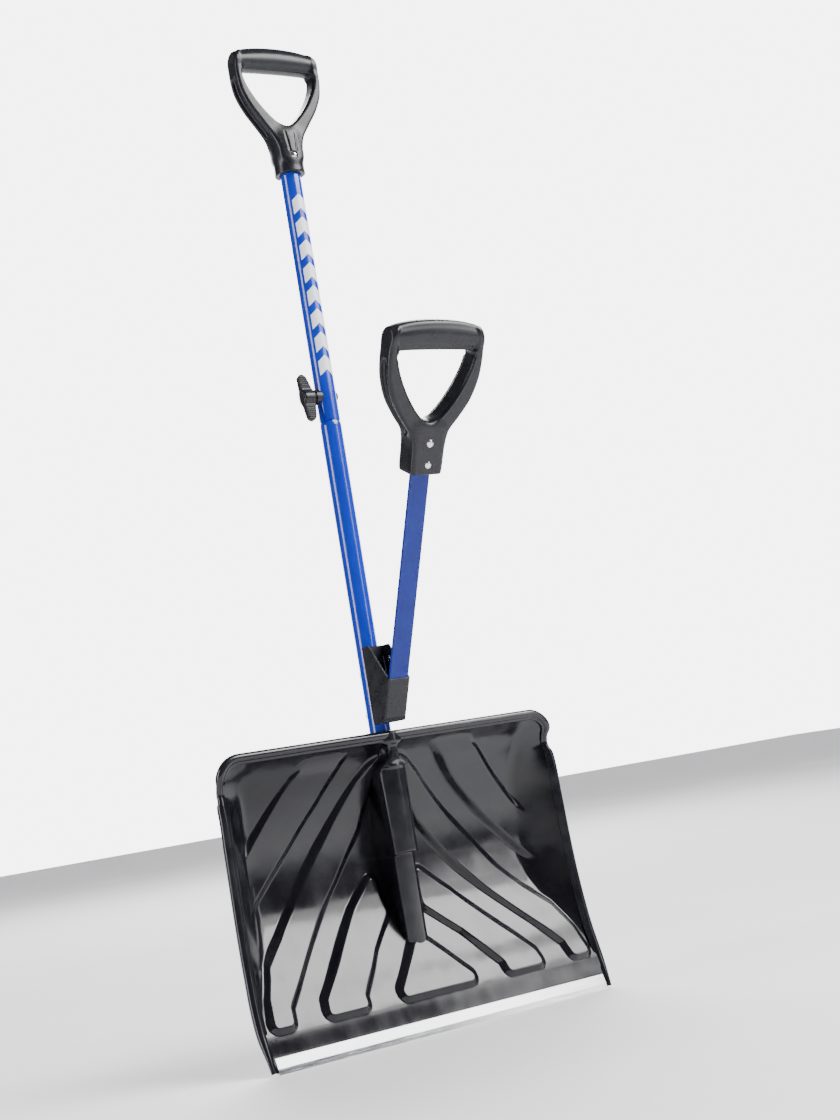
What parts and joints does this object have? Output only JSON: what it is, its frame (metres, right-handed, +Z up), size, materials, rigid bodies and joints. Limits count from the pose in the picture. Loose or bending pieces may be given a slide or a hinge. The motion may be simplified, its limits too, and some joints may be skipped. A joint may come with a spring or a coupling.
{
  "type": "snow shovel",
  "caption": "Wide scoop snow shovel with a metal wear strip, a bolted tube shaft with a D-grip, and a spring-hinged assist bar with its own D-grip.",
  "frame": {"origin": "centre of the wear strip's flat ground edge", "axes": "+Z up along the shaft to the upper grip, +X to the right seen from the front, -Y to the front, the scoop's open side; the shaft's axis is 56 mm behind the origin"},
  "size_m": [0.4818, 0.3106, 1.235],
  "materials": {
    "black_gloss_plastic": "glossy injection-moulded polypropylene",
    "black_satin_plastic": "satin moulded plastic",
    "blue_gloss_paint": "gloss powder coat on steel tube",
    "blue_satin_paint": "satin powder coat on steel",
    "black_paint": "satin black powder coat on sheet steel",
    "aluminium_strip": "bright rolled aluminium",
    "bright_chrome": "polished",
    "zinc_steel": "zinc-plated",
    "spring_steel": "oiled spring wire",
    "brass_insert": "turned"
  },
  "bodies": {
    "shaft_and_scoop": {"blade": "black_gloss_plastic", "wear_strip": "aluminium_strip", "wear_strip_rivets": "aluminium_strip", "socket_screws": "zinc_steel", "lower_shaft": "blue_gloss_paint", "upper_shaft": "blue_gloss_paint", "clamp_bolt": "zinc_steel", "knob_saddle": "black_satin_plastic", "upper_grip": "black_satin_plastic", "upper_grip_screw": "bright_chrome", "bracket": "black_paint", "pivot_pin": "black_paint", "spring_keeper": "bright_chrome", "bracket_bolts": "zinc_steel", "bracket_nuts": "zinc_steel", "assist_spring": "spring_steel"},
    "clamp_washer": {"knob_washer": "black_satin_plastic"},
    "clamp_knob": {"wing_knob": "black_satin_plastic", "knob_insert": "brass_insert"},
    "assist_arm": {"assist_bar": "blue_satin_paint", "hinge_lug": "blue_satin_paint", "pivot_tube": "blue_satin_paint", "assist_grip": "black_satin_plastic", "assist_grip_bolts": "bright_chrome", "assist_grip_nuts": "zinc_steel"}
  },
  "joints": [
    {"name": "assist_pivot", "type": "hinge", "parent": "shaft_and_scoop", "child": "assist_arm", "pos_m": [0, 0.026, 0.385], "axis": [-1, 0, 0], "range_deg": [0, 28], "stiffness_Nm_per_rad": 5.3, "springref_deg": -34.38, "deforming": ["assist_spring"]},
    {"name": "knob_travel", "type": "slide", "parent": "shaft_and_scoop", "child": "clamp_washer", "axis": [-1, 0, 0], "range_m": [0, 0.0031]},
    {"name": "knob_turn", "type": "hinge", "parent": "clamp_washer", "child": "clamp_knob", "pos_m": [-0.025, 0.056, 0.777], "axis": [-1, 0, 0], "range_deg": [0, 1080]}
  ],
  "couplings": [
    {"joint": "knob_travel", "follows": "knob_turn", "m_per_rad": 0.00015915}
  ]
}
